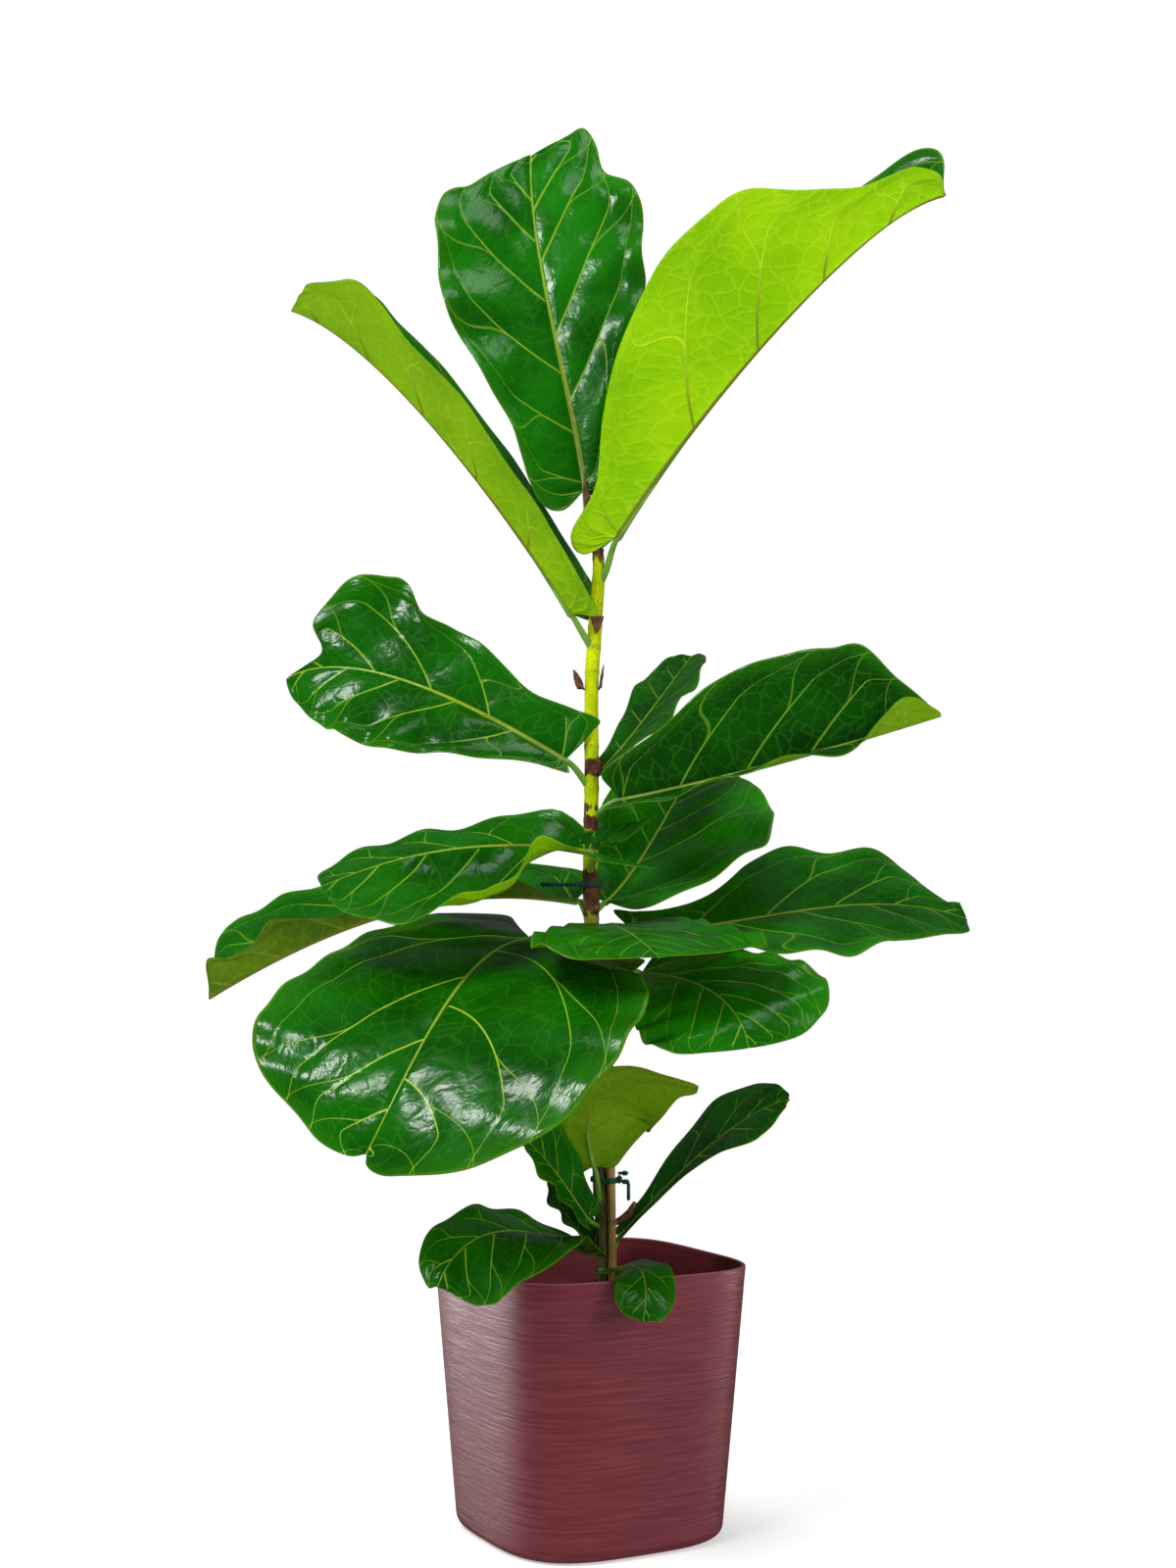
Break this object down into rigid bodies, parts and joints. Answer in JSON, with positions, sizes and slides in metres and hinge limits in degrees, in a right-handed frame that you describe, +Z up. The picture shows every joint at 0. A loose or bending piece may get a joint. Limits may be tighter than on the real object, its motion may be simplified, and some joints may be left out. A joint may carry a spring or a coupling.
{
  "type": "potted fiddle leaf fig",
  "caption": "Young fiddle leaf fig with a slim upright woody stem, held to a bamboo stake, and large waved leathery leaves, in a tapered rounded-square planter filled with soil",
  "frame": {"origin": "middle of the planter's flat underside", "axes": "+Z up along the stem; X and Y parallel to the planter's sides. The picture looks along the direction 28 degrees from +Y towards +X, so its left is mostly -X and its near side mostly -Y"},
  "size_m": [0.6097, 0.4584, 1.201],
  "materials": {
    "pot": "matte burgundy with fine level brush lines",
    "soil": "dark crumbly potting soil of bark and peat",
    "stem": "young green bark that turns brown lower down",
    "stake": "satin bamboo",
    "bark": "dry papery brown scales",
    "tie": "dark green soft plastic",
    "leaf": "glossy deep green above, paler yellow-green beneath"
  },
  "bodies": {
    "root": {"pot": "pot", "soil": "soil", "stem": "stem", "stake": "stake", "bud": "bark", "stub": "bark", "tie_lower": "tie", "tie_upper": "tie", "scale_1": "bark", "scale_2": "bark", "scale_3": "bark", "scale_4": "bark", "scale_5": "bark", "scale_6": "bark", "scale_7": "bark", "leaf_01": "leaf", "leaf_02": "leaf", "leaf_03": "leaf", "leaf_04": "leaf", "leaf_05": "leaf", "leaf_06": "leaf", "leaf_07": "leaf", "leaf_08": "leaf", "leaf_09": "leaf", "leaf_10": "leaf", "leaf_11": "leaf", "leaf_12": "leaf", "leaf_13": "leaf", "leaf_14": "leaf", "leaf_15": "leaf", "leaf_16": "leaf", "leaf_17": "leaf", "leaf_18": "leaf", "leaf_19": "leaf"}
  },
  "joints": []
}
